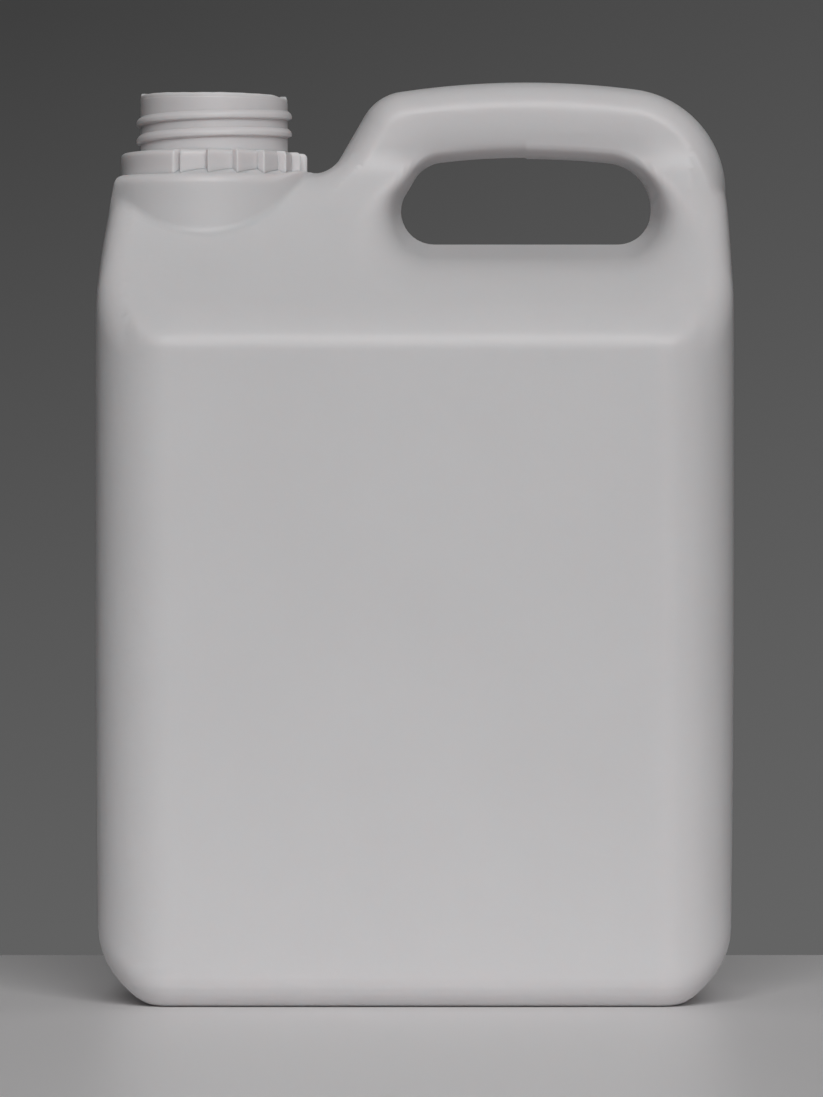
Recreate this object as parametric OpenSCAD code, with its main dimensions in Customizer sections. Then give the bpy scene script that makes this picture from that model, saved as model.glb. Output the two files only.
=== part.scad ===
// Rectangular jerry can, blown in one piece, with a hollow grip handle and an open screw neck.
// The mould parts on the plane y = 0. The front face looks towards -y, the handle is on the +x side.
// The skin is worked out for one mould half as columns and rows of points, once for the outside and
// once a wall's thickness further in. The other half is its mirror image.

/* [Body] */
// Width over the flat sides
body_w = 151; // [140:1:200]
// Depth from front face to back face
body_d = 98; // [88:1:120]
// Height over the handle
can_h = 220; // [214:1:240]
// Wall thickness
wall = 1.1; // [0.8:0.1:2]
// Radius of the four upright corners
corner_r = 18; // [12:1:24]
// Radius where the sides turn under the base
side_foot_r = 18; // [12:0.5:24]
// Radius where the front and back turn under the base
front_foot_r = 8; // [4:0.5:12]
// How far each side draws in from the middle of its height to the base
foot_in = 0.9; // [0:0.1:2]

/* [Shoulder] */
// Height of the top of the shoulder, where the neck ring sits
shoulder_z = 198.2; // [195:0.1:202]
// Height at which the faces end and the shoulder starts
ridge_z = 156.3; // [152:0.1:160]
// Height of the steep band between face and slope
band_h = 5.3; // [3:0.1:8]
// How far the steep band leans in
band_in = 2.3; // [1:0.1:4]
// Angle of the slope from level
slope_a = 45; // [40:1:50]
// Radius of the soft edges above the face
edge_r = 6.5; // [5:0.5:8]
// How far the right side leans in below the handle corner
right_in = 0.5; // [0:0.1:2]

/* [Handle] */
// Thickness of the grip from outline to slot
grip_h = 18; // [15:0.5:20]
// Depth of the grip from front to back
grip_d = 24; // [20:1:30]
// Arch radius of the handle's top
arch_r = 205; // [150:5:300]
// Middle of the arch, from the middle of the can
arch_x = 27; // [20:1:34]
// Radius of the handle's outer corner over the side
far_r = 25; // [18:1:28]
// Radius of the handle's outer corner over the sloping leg
near_r = 12; // [8:1:16]
// Angle of the sloping leg from level
leg_a = 60; // [55:1:68]
// Gap between the neck's boss and the line of the sloping leg, at the shoulder's top
leg_gap = 5.4; // [5:0.1:9]
// Radius of the valley between neck and handle
valley_r = 7; // [4:0.5:9]

/* [Slot] */
// Lower edge of the finger slot above the base
slot_z = 181; // [178:0.5:184]
// Radius of the slot's lower corners
slot_low_r = 8; // [6:0.5:9]
// Radius of the slot's upper corner beside the sloping leg
slot_near_r = 8; // [6:0.5:9]
// Radius of the slot's upper corner beside the side
slot_far_r = 11; // [8:0.5:12]
// Thickness of the web where the mould halves pinch the slot's rim
rim_t = 1.4; // [1:0.1:3]
// Draft angle of the slot's walls
slot_draft = 10.5; // [8:0.5:14]

/* [Neck] */
// Neck axis, from the left side
neck_in = 27.1; // [25:0.1:30]
// Radius of the boss under the neck
boss_r = 23; // [22.7:0.1:24]
// Radius over the ratchet teeth
ring_r = 22.5; // [21:0.1:22.6]
// Height of the ratchet ring
ring_h = 4.6; // [3:0.1:6]
// Depth of a ratchet tooth
tooth_t = 2.4; // [1:0.1:3]
// Number of ratchet teeth on each half of the ring
teeth = 6; // [4:1:7]
// Angle from one tooth to the next
tooth_a = 18; // [14:1:20]
// Outside radius of the neck
neck_r = 17.75; // [17:0.05:18.5]
// Wall thickness of the neck
neck_t = 1.75; // [1.2:0.05:2.5]
// Height of the neck's rim above the shoulder
neck_h = 18.7; // [17:0.1:22]

/* [Thread] */
// Rise of the thread in one turn
pitch = 4.2; // [3.5:0.1:4.5]
// How far the thread stands out from the neck
thread_t = 1; // [0.6:0.1:1.3]
// Number of turns
turns = 2; // [1:0.25:2.25]
// Height of the thread's start above the shoulder
thread_z = 6.75; // [6.3:0.05:7.5]

/* [Hidden] */
$fn = 96;

half_w = body_w / 2;
half_d = body_d / 2;
// Height up to which the side wall keeps its full depth
side_d = half_d - corner_r;
neck_x = neck_in - half_w;
leg_x = neck_x + boss_r + leg_gap;
grip_half = grip_d / 2;
rim_half = rim_t / 2;
// Heights between which the sides draw in
taper_z = 110;
lean_z = 155;
// How far the left side leans in to meet the boss
left_in = neck_in - boss_r;
// How late the lean of each side sets in
left_bend = 2.3;
right_bend = 2;
// Extra radius of the hole under the neck's bore
tunnel_gap = 1;
// Softness of the bends, each measured along the depth
soft_band = 1.2;
soft_ridge = 3;
soft_boss = 4;
soft_leg = 4;
soft_pocket = 2;
// Drop of the crease below the top of the shoulder beside the neck, at the leg and beside the slot
boss_drop = 3;
leg_drop = [2, 6];
side_drop = 7;
// Rise of depth for each millimetre away from the slot, at its floor and under the grip
floor_rise = 1 / tan(slot_draft);
grip_rise = 3.2;

// Ratchet teeth: start of the smooth sector, clear gap before each steep face, share of the fall
first_a = 174.3;
gap_a = 3;
fall = 0.8;
smooth_n = 8;
// Thread section: reach below and above its middle at the root, half width at the crest
thread_low = 0.9;
thread_up = 1.9;
thread_top = 0.4;
thread_sink = 0.5;
// Steps of the thread in a turn, steps over which its ends fade, and its height there
thread_n = 36;
fade_n = 3;
thread_start = 0.2;

// Number of cells in each part of the grid
arc_n = 5;
boss_n = 14;
valley_n = 4;
low_near_n = 4;
low_mid_n = 4;
low_far_n = 3;
foot_n = 5;
leg_n = 3;
near_n = 4;
arch_n = 8;
far_n = 7;
side_n = 1;
// Steps across the grip between its front corner and the slot
grip_steps = [0.3, 0.58, 0.82, 1];
// Steps up a column from the ridge to the crease, and from the crease to the top
slope_steps = [0.3, 0.6, 0.85, 1];
crease_steps = [0.15, 0.4, 0.7, 1];
// Distance that sets columns of the face apart from the feature above them
column_gap = 4;
// Height of the row on the face, and the rows over the ridge measured from ridge_z
face_row_z = 70;
ridge_rows = [-4, 0, band_h / 2, band_h, band_h + 4];

// Meeting of two depths, rounded inside or outside by k
function soft_min(a, b, k) = min(a, b) - pow(max(k - abs(a - b), 0), 2) / (4 * k);
function soft_max(a, b, k) = max(a, b) + pow(max(k - abs(a - b), 0), 2) / (4 * k);
function mix(a, b, t) = a + (b - a) * t;
function polar(c, r, a) = [c[0] + r * cos(a), c[1] + r * sin(a)];
function heading(v) = atan2(v[1], v[0]);

// Section of the shoulder: a slope that runs into a round top
slope_c = (half_d - band_in) * sin(slope_a) + (ridge_z + band_h) * cos(slope_a);
hump_z = (shoulder_z - slope_c) / (1 - cos(slope_a));
hump_r = shoulder_z - hump_z;
function hump(z, q) =
    z <= hump_z + (hump_r - q) * cos(slope_a)
        ? (slope_c - q - z * cos(slope_a)) / sin(slope_a)
        : sqrt(max(pow(hump_r - q, 2) - pow(z - hump_z, 2), 0));
function band(z, q) = half_d - q - (z - ridge_z) * band_in / band_h;
// Depth of the body's front surface at height z, from the parting plane
function plateau(z, q) = soft_min(soft_min(half_d - q, band(z, q), soft_band), hump(z, q), soft_ridge);
// Depth where body and grip run together
function full_depth(z, q) = soft_max(plateau(z, q), grip_half - q, soft_leg);
// Height at which the slope cuts the edge of the side wall
cut_z = (slope_c - side_d * sin(slope_a)) / cos(slope_a);

// Width and depth of the rounding between side and front at height z, for a local depth p
function edge_w(z, q) =
    edge_r - q + (corner_r - edge_r) * pow(min(max(cut_z - z, 0) / (cut_z - ridge_z), 1), 2);
function edge_d(p, q) = min(max(p - side_d, edge_r - q), p);

// Outline of the two sides
function taper(z) = foot_in * pow(max(taper_z - z, 0) / taper_z, 2);
function lean(z, z1, bend) = pow(max(z - lean_z, 0) / (z1 - lean_z), bend);
function left_x(z, q) = q - half_w + taper(z) + left_in * lean(z, shoulder_z, left_bend);
function right_x(z, q) = half_w - q - taper(z) - right_in * lean(z, far_c[1], right_bend);

// Outline of the handle: leg line, arch and corners
leg_dir = [cos(leg_a), sin(leg_a)];
leg_in = [sin(leg_a), -cos(leg_a)];
leg_foot = [leg_x, shoulder_z];
arch_c = [arch_x, can_h - arch_r];
// Centre of a circle that lies d inside the leg line and r from the arch's centre
function by_leg(d, r) =
    let (p = leg_foot + d * leg_in - arch_c, b = p * leg_dir)
    leg_foot + d * leg_in + (sqrt(b * b - p * p + r * r) - b) * leg_dir;
// Centre of a circle at x and r from the arch's centre
function by_side(x, r) = [x, arch_c[1] + sqrt(r * r - pow(x - arch_c[0], 2))];
near_c = by_leg(near_r, arch_r - near_r);
far_c = by_side(half_w - right_in - far_r, arch_r - far_r);
valley_c = leg_foot - valley_r * leg_in + valley_r * (1 + leg_in[1]) / leg_dir[1] * leg_dir;

// Outline of the slot
slot_far_x = half_w - right_in - grip_h;
slot_arch_r = arch_r - grip_h;
slot_near_c = by_leg(grip_h + slot_near_r, slot_arch_r - slot_near_r);
slot_far_c = by_side(slot_far_x - slot_far_r, slot_arch_r - slot_far_r);
low_far_c = [slot_far_x - slot_low_r, slot_z + slot_low_r];
low_near_c = leg_foot + (grip_h + slot_low_r) * leg_in
    + (slot_z + slot_low_r - shoulder_z - (grip_h + slot_low_r) * leg_in[1]) / leg_dir[1] * leg_dir;
leg_out_a = leg_a + 90;

// Points on the handle's outline and on the slot, station by station, each inset by q
function arc_points(c, r, a0, a1, n) = [for (i = [1:n]) polar(c, r, mix(a0, a1, i / n))];
function line_points(p0, p1, n) = [for (i = [1:n]) mix(p0, p1, i / n)];
function handle_outer(q) =
    let (v = polar(valley_c, valley_r + q, leg_a - 90),
         a_near = heading(near_c - arch_c),
         a_far = heading(far_c - arch_c),
         base_z = low_far_c[1])
    concat(
        [v],
        line_points(v, polar(near_c, near_r - q, leg_out_a), leg_n),
        arc_points(near_c, near_r - q, leg_out_a, a_near, near_n),
        arc_points(arch_c, arch_r - q, a_near, a_far, arch_n),
        arc_points(far_c, far_r - q, a_far, 0, far_n),
        [for (i = [1:side_n]) let (z = mix(far_c[1], base_z, i / side_n)) [right_x(z, q), z]]);
function handle_inner(q) =
    let (s = polar(low_near_c, slot_low_r + q, leg_out_a),
         a_near = heading(slot_near_c - arch_c),
         a_far = heading(slot_far_c - arch_c))
    concat(
        [s],
        line_points(s, polar(slot_near_c, slot_near_r + q, leg_out_a), leg_n),
        arc_points(slot_near_c, slot_near_r + q, leg_out_a, a_near, near_n),
        arc_points(arch_c, slot_arch_r + q, a_near, a_far, arch_n),
        arc_points(slot_far_c, slot_far_r + q, a_far, 0, far_n),
        line_points(polar(slot_far_c, slot_far_r + q, 0), [slot_far_x + q, low_far_c[1]], side_n));
// Lower half of the slot, from the sloping leg to the side
function slot_low(q) = concat(
    [polar(low_near_c, slot_low_r + q, leg_out_a)],
    arc_points(low_near_c, slot_low_r + q, leg_out_a, 270, low_near_n),
    line_points([low_near_c[0], slot_z - q], [low_far_c[0], slot_z - q], low_mid_n),
    arc_points(low_far_c, slot_low_r + q, -90, 0, low_far_n));

// Distance from a point to the slot's outline, outside it
function to_segment(p, a, b) =
    let (ab = b - a, t = min(max((p - a) * ab / (ab * ab), 0), 1))
    norm(p - a - t * ab);
function to_circle(p, c, r) = norm(p - c) - r;
function over_arch(p) =
    let (a = heading(p - arch_c))
    a < heading(slot_near_c - arch_c) && a > heading(slot_far_c - arch_c);
function to_slot(p, q) = max(min(
    to_circle(p, low_near_c, slot_low_r),
    to_circle(p, low_far_c, slot_low_r),
    p[1] > slot_far_c[1] ? to_circle(p, slot_far_c, slot_far_r) : slot_arch_r,
    to_circle(p, slot_near_c, slot_near_r),
    to_segment(p, [low_near_c[0], slot_z], [low_far_c[0], slot_z]),
    to_segment(p, [slot_far_x, low_far_c[1]], [slot_far_x, slot_far_c[1]]),
    to_segment(p, polar(low_near_c, slot_low_r, leg_out_a), polar(slot_near_c, slot_near_r, leg_out_a)),
    over_arch(p) ? abs(norm(p - arch_c) - slot_arch_r) : slot_arch_r) - q, 0);

// Depth allowed by the slot's drafted wall, d away from the slot at height z
function grip_share(z) = min(max((z - slot_z - 3) / (shoulder_z - slot_z - 3), 0), 1);
function slot_wall(d, z) = rim_half + d * mix(floor_rise, grip_rise, grip_share(z));
function slot_soft(z) = mix(soft_pocket, grip_half, grip_share(z));

// Columns of the body grid
grip_n = 1 + arc_n + len(grip_steps);
slot_n = low_near_n + low_mid_n + low_far_n;
leg_j = boss_n + valley_n;
slot_j = leg_j + grip_n;
far_j = slot_j + slot_n;
last_j = far_j + grip_n;
// Rows of the body grid
ridge_r0 = foot_n + 2;
slope_r0 = ridge_r0 + len(ridge_rows);
crease_r0 = slope_r0 + len(slope_steps);
top_r = crease_r0 + len(crease_steps) - 1;
rows = top_r + 1;

// Angle through the upright corner for a column that is i steps from a side's parting line
function corner_a(i) = min(max(i - 1, 0), arc_n) * 90 / arc_n;

// Where each column stands on the face, a little outside the feature above it
face_x = [
    [arc_n + 1, -half_w + corner_r],
    [boss_n, neck_x + boss_r - 1.5 * column_gap],
    [leg_j, leg_x - column_gap],
    [slot_j, low_near_c[0] - slot_low_r - 1.5 * column_gap],
    [far_j, half_w - corner_r - column_gap],
    [last_j - arc_n - 1, half_w - corner_r]];

// Top of each column, [x, z]
function grip_across(o, i, s, z, q) =
    let (l = norm(i - o), w = edge_w(z, q))
    s <= arc_n + 1 ? mix(o, i, w * (1 - cos(corner_a(s))) / l)
        : mix(o, i, mix(w / l, 1, grip_steps[s - arc_n - 2]));
function boss_top(j, q) = [neck_x - (boss_r - q) * cos(j * 180 / boss_n), shoulder_z - q];
function valley_top(i, q) =
    let (a = mix(-90, leg_a - 90, max(i - 1, 0) / (valley_n - 1)))
    polar(valley_c, valley_r + q, a);
function column_tops(q) =
    let (low = slot_low(q), v = polar(valley_c, valley_r + q, leg_a - 90),
         side = [right_x(low_far_c[1], q), low_far_c[1]])
    concat(
        [for (j = [0:boss_n]) boss_top(j, q)],
        [for (i = [1:valley_n]) valley_top(i, q)],
        [for (i = [1:grip_n]) grip_across(v, low[0], i, shoulder_z, q)],
        [for (i = [1:slot_n]) low[i]],
        [for (i = [1:grip_n]) grip_across(side, low[slot_n], grip_n - i, low_far_c[1], q)]);

// Place on the rounded section at height z: u runs from the left side's middle (0) by the flat side (1)
// and round the corner (2) along the front to the right corner (3)
function section_point(u, z, q) =
    let (p = plateau(z, q), w = edge_w(z, q), e = edge_d(p, q), x0 = left_x(z, q), x1 = right_x(z, q))
    u <= 1 ? [x0, u * (p - e), z]
    : u <= 2 ? [x0 + w * (1 - cos((u - 1) * 90)), p - e + e * sin((u - 1) * 90), z]
    : [mix(x0 + w, x1 - w, u - 2), p, z];
function section_u(x, z, q) =
    let (w = edge_w(z, q), x0 = left_x(z, q), x1 = right_x(z, q))
    x < x0 + w ? 1 + acos(1 - max(x - x0, 0) / w) / 90 : 2 + (x - x0 - w) / (x1 - x0 - 2 * w);
// Height at which the shoulder passes through [x, y], by halving the span from z0 to z1
function shoulder_at(x, y, q, z0, z1, n = 24) =
    let (z = (z0 + z1) / 2)
    n == 0 ? z
    : edge_depth(x - left_x(z, q), plateau(z, q), z, q) > y ? shoulder_at(x, y, q, z, z1, n - 1)
    : shoulder_at(x, y, q, z0, z, n - 1);
// Direction in which a column leaves the slot's lower half
function leave_a(i) =
    i <= low_near_n ? mix(205, 270, i / low_near_n)
        : i <= low_near_n + low_mid_n ? 270
        : mix(270, 335, (i - low_near_n - low_mid_n) / low_far_n);
// Point in direction a from p at which the slot's wall meets the shoulder
function pocket_edge(p, a, q, d0 = 0, d1 = 12, n = 20) =
    let (d = (d0 + d1) / 2, e = polar(p, d, a))
    n == 0 ? e
    : slot_wall(to_slot(e, q), e[1]) < plateau(e[1], q) ? pocket_edge(p, a, q, d, d1, n - 1)
    : pocket_edge(p, a, q, d0, d, n - 1);
// Crease of each column: foot of the boss, or edge of the slot's pocket, [x, z]
function column_creases(q) =
    let (low = slot_low(q), v = polar(valley_c, valley_r + q, leg_a - 90),
         near = pocket_edge(low[0], leave_a(0), q),
         far = pocket_edge(low[slot_n], leave_a(slot_n), q),
         v1 = v - leg_drop,
         side = [right_x(low_far_c[1] - side_drop, q), low_far_c[1] - side_drop])
    concat(
        [for (j = [0:boss_n]) let (t = boss_top(j, q))
            [t[0], min(shoulder_at(t[0], boss_depth(t[0], q), q, ridge_z, shoulder_z - q),
                shoulder_z - q - (j > arc_n + 1 ? boss_drop : 1))]],
        [for (i = [1:valley_n]) mix([neck_x + boss_r - q, shoulder_z - q - boss_drop], v1, i / valley_n)],
        [for (i = [1:grip_n]) mix(v1, near, i / grip_n)],
        [for (i = [1:slot_n]) pocket_edge(low[i], leave_a(i), q)],
        [for (i = [1:grip_n]) mix(far, side, i / grip_n)]);

// Depth of the boss at x
function boss_depth(x, q) = sqrt(max(pow(boss_r - q, 2) - pow(x - neck_x, 2), 0));
// Depth of the sloping leg, by the distance inside its line
function leg_depth(p, q) =
    let (d = (p - leg_foot) * leg_in - q, w = edge_r - q)
    d <= 0 ? 0 : grip_half - q - w + w * sqrt(1 - pow(1 - min(d / w, 1), 2));
// Rounding of a side's edge, d inside the side, for a full depth p
function edge_depth(d, p, z, q) =
    let (w = edge_w(z, q), e = edge_d(p, q))
    p - e + e * sqrt(1 - pow(1 - min(max(d / w, 0), 1), 2));

// Depth of the skin at [x, z] in the upper part of the body, for column j
function upper_depth(p, j, q) =
    let (z = p[1], sh = plateau(z, q))
    j == last_j ? 0
    : j <= leg_j ? soft_max(soft_max(sh, boss_depth(p[0], q), soft_boss), leg_depth(p, q), soft_leg)
    : j < far_j
        ? soft_min(soft_max(sh, leg_depth(p, q), soft_leg), slot_wall(to_slot(p, q), z), slot_soft(z))
    : soft_min(edge_depth(right_x(z, q) - p[0], full_depth(z, q), z, q),
        slot_wall(to_slot(p, q), z), slot_soft(z));

// Point of the body grid for column j and row r, [x, depth, z]
function rounded_row(j, w, d, z_side, z_front, q) =
    let (r = corner_r - q, i = min(j, last_j - j), a = corner_a(i), s = j < last_j / 2 ? -1 : 1)
    i == 0 ? [s * w, 0, z_side]
    : i <= arc_n + 1
        ? [s * (w - r * (1 - cos(a))), d - r * (1 - sin(a)), mix(z_side, z_front, pow(sin(a), 2))]
    : [lookup(j, face_x) * (w - r) / (half_w - corner_r), d, z_front];
function foot_row(j, r, q) =
    let (a = r * 90 / foot_n)
    rounded_row(j,
        half_w - foot_in - side_foot_r + (side_foot_r - q) * sin(a),
        half_d - front_foot_r + (front_foot_r - q) * sin(a),
        side_foot_r - (side_foot_r - q) * cos(a),
        front_foot_r - (front_foot_r - q) * cos(a), q);
// Place of a column along the section, up to the ridge
function column_u(j) =
    j == 0 ? 0
    : j <= arc_n + 1 ? 1 + (j - 1) / arc_n
    : j < last_j - arc_n - 1 ? 2 + (lookup(j, face_x) + half_w - corner_r) / (2 * (half_w - corner_r))
    : 3;
function ridge_row(j, z, q) =
    let (i = last_j - j, a = corner_a(i), p = plateau(z, q), w = edge_w(z, q), e = edge_d(p, q))
    i > arc_n + 1 ? section_point(column_u(j), z, q)
    : i == 0 ? [right_x(z, q), 0, z]
    : [right_x(z, q) - w * (1 - cos(a)), p - e + e * sin(a), z];
ridge_top_z = ridge_z + ridge_rows[len(ridge_rows) - 1];
// Point of a column above the ridge: t runs from the ridge (0) by the crease (1) to the top (2)
function upper_row(j, t, c, top, q) =
    let (z = t <= 1 ? mix(ridge_top_z, c[1], t) : mix(c[1], top[1], t - 1),
         i = last_j - j,
         x0 = ridge_row(j, ridge_top_z, q)[0],
         x = i <= arc_n + 1 ? right_x(z, q) - edge_w(z, q) * (1 - cos(corner_a(i)))
            : t <= 1 ? mix(x0, c[0], t) : mix(c[0], top[0], t - 1))
    j == 0 ? [left_x(z, q), 0, z]
    : j > arc_n + 1 ? [x, upper_depth([x, z], j, q), z]
    : t > 1 ? [c[0], boss_depth(c[0], q), z]
    : section_point(mix(column_u(j), section_u(c[0], c[1], q), t), z, q);
// Last point of a column, exactly on the outline, the boss or the slot's rim
function top_point(j, top, q) =
    let (i = j - leg_j, k = last_j - j)
    j <= boss_n ? [top[0], (boss_r - q) * abs(sin(j * 180 / boss_n)), top[1]]
    : j <= leg_j ? [top[0], 0, top[1]]
    : j < slot_j ? grip_point(top, i, q)
    : j <= far_j ? [top[0], rim_half, top[1]]
    : grip_point(top, k, q);
// Point across the grip, s steps from the outline
function grip_point(p, s, q) =
    let (z = p[1], d = full_depth(z, q), e = edge_d(d, q))
    s == 0 ? [p[0], 0, z]
    : s == grip_n ? [p[0], rim_half, z]
    : [p[0], soft_min(d - e + e * sin(corner_a(s)), slot_wall(to_slot(p, q), z), slot_soft(z)), z];

function body_points(q) =
    let (tops = column_tops(q), creases = column_creases(q))
    [for (j = [0:last_j]) each concat(
        [for (r = [0:foot_n]) foot_row(j, r, q)],
        [ridge_row(j, face_row_z, q)],
        [for (dz = ridge_rows) ridge_row(j, ridge_z + dz, q)],
        [for (t = slope_steps) upper_row(j, t, creases[j], tops[j], q)],
        [for (i = [0:len(crease_steps) - 2]) upper_row(j, 1 + crease_steps[i], creases[j], tops[j], q)],
        [top_point(j, tops[j], q)])];
handle_n = leg_n + near_n + arch_n + far_n + side_n;
function handle_points(q) =
    let (outer = handle_outer(q), inner = handle_inner(q))
    [for (k = [1:handle_n - 1]) each
        [for (s = [0:grip_n])
            grip_point(grip_across(outer[k], inner[k], s, max(outer[k][1], shoulder_z), q), s, q)]];

// Numbering of the points of one mould half
half_n = (last_j + 1) * rows + (handle_n - 1) * (grip_n + 1);
function body_i(j, r) = j * rows + r;
function handle_i(k, s) =
    k == 0 ? body_i(leg_j + s, top_r)
    : k == handle_n ? body_i(last_j - s, top_r)
    : (last_j + 1) * rows + (k - 1) * (grip_n + 1) + s;
half_faces = concat(
    [for (j = [0:last_j - 1], r = [0:rows - 2])
        [body_i(j, r), body_i(j, r + 1), body_i(j + 1, r + 1), body_i(j + 1, r)]],
    [for (k = [0:handle_n - 1], s = [0:grip_n - 1])
        [handle_i(k, s), handle_i(k + 1, s), handle_i(k + 1, s + 1), handle_i(k, s + 1)]]);
// Rim of the slot, once round
rim_edge = concat(
    [for (j = [slot_j:far_j]) body_i(j, top_r)],
    [for (k = [1:handle_n]) handle_i(handle_n - k, grip_n)]);

function is_mid(p) = abs(p[1]) < 0.0001;
// The other half uses the same point where it lies on the parting plane
function back_i(i, half) = is_mid(half[i]) ? i : i + half_n;
function reversed(f) = [for (i = [len(f) - 1:-1:0]) f[i]];
function rim_faces(half) = [for (i = [0:len(rim_edge) - 2])
    [rim_edge[i + 1], rim_edge[i], back_i(rim_edge[i], half), back_i(rim_edge[i + 1], half)]];
// The flat base, round both halves from the left side's middle
function base_face(half) = concat(
    [for (j = [0:last_j]) body_i(j, 0)],
    [for (j = [last_j - 1:-1:1]) back_i(body_i(j, 0), half)]);
function skin_faces(half) = concat(
    half_faces,
    [for (f = half_faces) reversed([for (i = f) back_i(i, half)])],
    [base_face(half)],
    rim_faces(half));
function skin_points(half) = concat(
    [for (p = half) [p[0], -p[1], p[2]]],
    [for (p = half) [p[0], p[1], p[2]]]);
// A face as triangles, cut along the shorter diagonal, without those that have no area
function triangles(f, pts) =
    let (flip = len(f) == 4 && norm(pts[f[1]] - pts[f[3]]) < norm(pts[f[0]] - pts[f[2]]),
         g = flip ? [f[1], f[2], f[3], f[0]] : f)
    [for (i = [1:len(g) - 2])
        let (t = [g[0], g[i], g[i + 1]])
            if (t[0] != t[1] && t[1] != t[2] && t[2] != t[0]) t];
function shifted(faces, n) = [for (f = faces) [for (i = f) i + n]];

ring_n = 2 * boss_n;
tunnel_r = neck_r - neck_t + tunnel_gap;
function tunnel_loop(z) = [for (i = [0:ring_n - 1])
    [neck_x - tunnel_r * cos(i * 360 / ring_n), -tunnel_r * sin(i * 360 / ring_n), z]];
// Top of the boss as a loop, front half first
function boss_loop(half) = [for (i = [0:ring_n - 1])
    i <= boss_n ? body_i(i, top_r) : back_i(body_i(ring_n - i, top_r), half)];
function between(a, b) = [for (i = [0:len(a) - 1])
    let (k = (i + 1) % len(a)) [a[k], a[i], b[i], b[k]]];

// Blown skin: both mould halves, outside and inside, joined at the hole under the neck
module blown_skin() {
    outer = concat(body_points(0), handle_points(0));
    inner = concat(body_points(wall), handle_points(wall));
    n = 2 * half_n;
    top_loop = [for (i = [0:ring_n - 1]) 2 * n + i];
    low_loop = [for (i = [0:ring_n - 1]) 2 * n + ring_n + i];
    inner_loop = [for (i = boss_loop(inner)) i + n];
    tunnel = concat(
        between(boss_loop(outer), top_loop),
        between(top_loop, low_loop),
        between(low_loop, inner_loop));
    points = concat(skin_points(outer), skin_points(inner),
        tunnel_loop(shoulder_z), tunnel_loop(shoulder_z - wall));
    polyhedron(
        points = points,
        faces = concat(
            [for (f = concat(skin_faces(outer), tunnel)) each triangles(f, points)],
            [for (f = shifted(skin_faces(inner), n), t = triangles(f, points)) reversed(t)]),
        convexity = 8);
}

// Ratchet ring: on each mould half a smooth sector, then teeth that end in a steep face on their left
module ratchet_ring() {
    linear_extrude(height = ring_h, convexity = 6)
        difference() {
            polygon([for (turn = [0, 180]) each ring_half(first_a + turn)]);
            circle(r = neck_r - neck_t);
        }
}
function ring_half(a0) =
    let (root_r = ring_r - tooth_t, smooth_a = 180 - teeth * tooth_a)
    concat(
        [for (i = [0:smooth_n]) polar([0, 0], ring_r, a0 + i * smooth_a / smooth_n)],
        [for (t = [0:teeth - 1]) let (a = a0 + smooth_a + t * tooth_a) each [
            polar([0, 0], root_r, a + gap_a),
            polar([0, 0], ring_r, a + gap_a),
            polar([0, 0], mix(ring_r, root_r, fall), a + tooth_a)]]);

// Neck tube with its round bore
module neck_tube() {
    rotate_extrude()
        translate([neck_r - neck_t, 0])
            square([neck_t, neck_h]);
}

// Thread: a ridge with a steep lower and a sloping upper flank, carried round the neck
module thread() {
    root = neck_r - thread_sink;
    crest = neck_r + thread_t;
    section = [[root, -thread_low], [crest, -thread_top], [crest, thread_top], [root, thread_up]];
    m = len(section);
    steps = round(turns * thread_n);
    function fade(i) = min(min(i, steps - i) / fade_n, 1);
    polyhedron(
        points = [for (i = [0:steps], p = section)
            let (a = 90 + i * 360 / thread_n,
                 r = p[0] > neck_r ? mix(neck_r + thread_start, p[0], fade(i)) : p[0])
            [r * cos(a), r * sin(a), p[1] + i * pitch / thread_n]],
        faces = concat(
            [[for (k = [0:m - 1]) k]],
            [[for (k = [m - 1:-1:0]) steps * m + k]],
            [for (i = [0:steps - 1], k = [0:m - 1]) let (a = i * m + k, b = i * m + (k + 1) % m)
                each [[a, a + m, b + m], [a, b + m, b]]]),
        convexity = 6);
}

module can() {
    color("white") {
        blown_skin();
        translate([neck_x, 0, shoulder_z]) {
            ratchet_ring();
            neck_tube();
            translate([0, 0, thread_z]) thread();
        }
    }
}

can();
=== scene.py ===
import math

import bpy
import numpy as np
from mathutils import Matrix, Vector


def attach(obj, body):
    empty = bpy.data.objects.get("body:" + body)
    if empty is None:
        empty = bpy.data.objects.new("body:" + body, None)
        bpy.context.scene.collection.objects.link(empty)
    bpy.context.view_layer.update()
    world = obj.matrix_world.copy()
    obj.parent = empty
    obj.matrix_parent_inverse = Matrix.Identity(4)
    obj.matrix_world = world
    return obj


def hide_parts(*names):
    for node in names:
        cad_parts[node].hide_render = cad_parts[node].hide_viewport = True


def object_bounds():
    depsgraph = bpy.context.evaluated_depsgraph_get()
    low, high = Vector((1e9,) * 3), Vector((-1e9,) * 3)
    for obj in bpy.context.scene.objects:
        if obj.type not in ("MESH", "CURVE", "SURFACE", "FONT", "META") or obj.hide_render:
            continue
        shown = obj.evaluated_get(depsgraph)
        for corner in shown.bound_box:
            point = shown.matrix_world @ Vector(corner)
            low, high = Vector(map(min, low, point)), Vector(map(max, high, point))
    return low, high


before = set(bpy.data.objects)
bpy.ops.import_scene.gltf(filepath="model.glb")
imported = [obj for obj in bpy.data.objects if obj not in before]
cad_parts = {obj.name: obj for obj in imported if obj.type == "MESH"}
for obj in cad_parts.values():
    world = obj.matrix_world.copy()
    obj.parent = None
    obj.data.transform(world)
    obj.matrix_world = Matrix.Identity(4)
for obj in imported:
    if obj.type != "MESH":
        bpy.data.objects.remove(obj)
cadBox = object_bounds()
print("frame loaded")

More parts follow.
